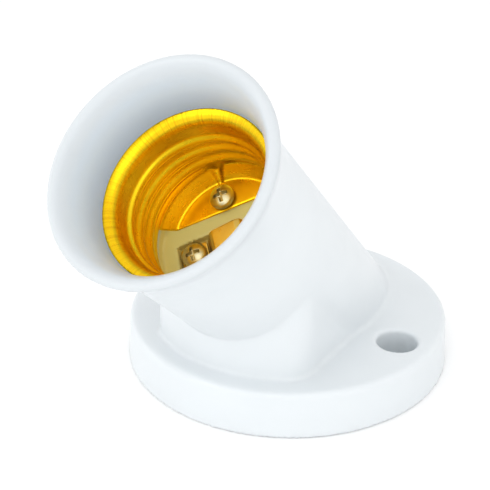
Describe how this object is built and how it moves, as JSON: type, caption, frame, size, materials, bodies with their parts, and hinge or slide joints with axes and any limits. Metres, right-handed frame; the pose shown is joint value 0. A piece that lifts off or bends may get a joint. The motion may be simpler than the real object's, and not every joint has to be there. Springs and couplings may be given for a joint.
{
  "type": "slanted heat lamp holder",
  "caption": "Slanted screw-in lamp socket with a flared mouth around a threaded brass shell, on a round screw-down base with wire clamps in its open back.",
  "frame": {"origin": "centre of the rear mounting face of the round base", "axes": "+Z out of the mounting surface, the lamp mouth leans 45 degrees towards -Y, the two mounting holes lie on X"},
  "size_m": [0.064, 0.086, 0.0669],
  "materials": {
    "white_moulding": "smooth heat-resistant moulding, satin gloss, cool white",
    "shell_brass": "bright pressed brass",
    "contact_brass": "stamped strip brass, slightly dull",
    "plated_steel": "yellowish bright plating"
  },
  "bodies": {
    "holder": {"housing": "white_moulding", "screw_shell": "shell_brass", "centre_contact_foot": "contact_brass", "shell_terminal": "contact_brass", "contact_terminal": "contact_brass", "shell_screw": "plated_steel", "shell_screw_lock_washer": "plated_steel", "shell_screw_nut": "contact_brass", "shell_rear_screw": "plated_steel", "shell_rear_screw_lock_washer": "plated_steel", "shell_rear_screw_nut": "contact_brass", "contact_screw": "plated_steel", "contact_screw_lock_washer": "plated_steel", "contact_screw_nut": "contact_brass"},
    "contact_spring": {"centre_contact_tongue": "contact_brass"},
    "shell_clamp": {"shell_clamp_washer": "plated_steel"},
    "shell_clamp_turn": {"shell_clamp_screw": "plated_steel"},
    "contact_clamp": {"contact_clamp_washer": "plated_steel"},
    "contact_clamp_turn": {"contact_clamp_screw": "plated_steel"}
  },
  "joints": [
    {"name": "contact_press", "type": "hinge", "parent": "holder", "child": "contact_spring", "pos_m": [-0.00418, -0.02033, 0.02861], "axis": [-0.616, 0.557, 0.557], "range_deg": [0, 9], "stiffness_Nm_per_rad": 0.25},
    {"name": "shell_clamp_slide", "type": "slide", "parent": "holder", "child": "shell_clamp", "axis": [0, 0.7071, -0.7071], "range_m": [0, 0.0018]},
    {"name": "shell_clamp_unscrew", "type": "hinge", "parent": "shell_clamp", "child": "shell_clamp_turn", "pos_m": [0.00246, -0.00739, 0.03306], "axis": [0, 0.7071, -0.7071], "range_deg": [0, 1080]},
    {"name": "contact_clamp_slide", "type": "slide", "parent": "holder", "child": "contact_clamp", "axis": [0, 0.7071, -0.7071], "range_m": [0, 0.0018]},
    {"name": "contact_clamp_unscrew", "type": "hinge", "parent": "contact_clamp", "child": "contact_clamp_turn", "pos_m": [0.00039, -0.01356, 0.02689], "axis": [0, 0.7071, -0.7071], "range_deg": [0, 1080]}
  ],
  "couplings": [
    {"joint": "shell_clamp_unscrew", "follows": "shell_clamp_slide", "rad_per_m": 10472},
    {"joint": "contact_clamp_unscrew", "follows": "contact_clamp_slide", "rad_per_m": 10472}
  ]
}
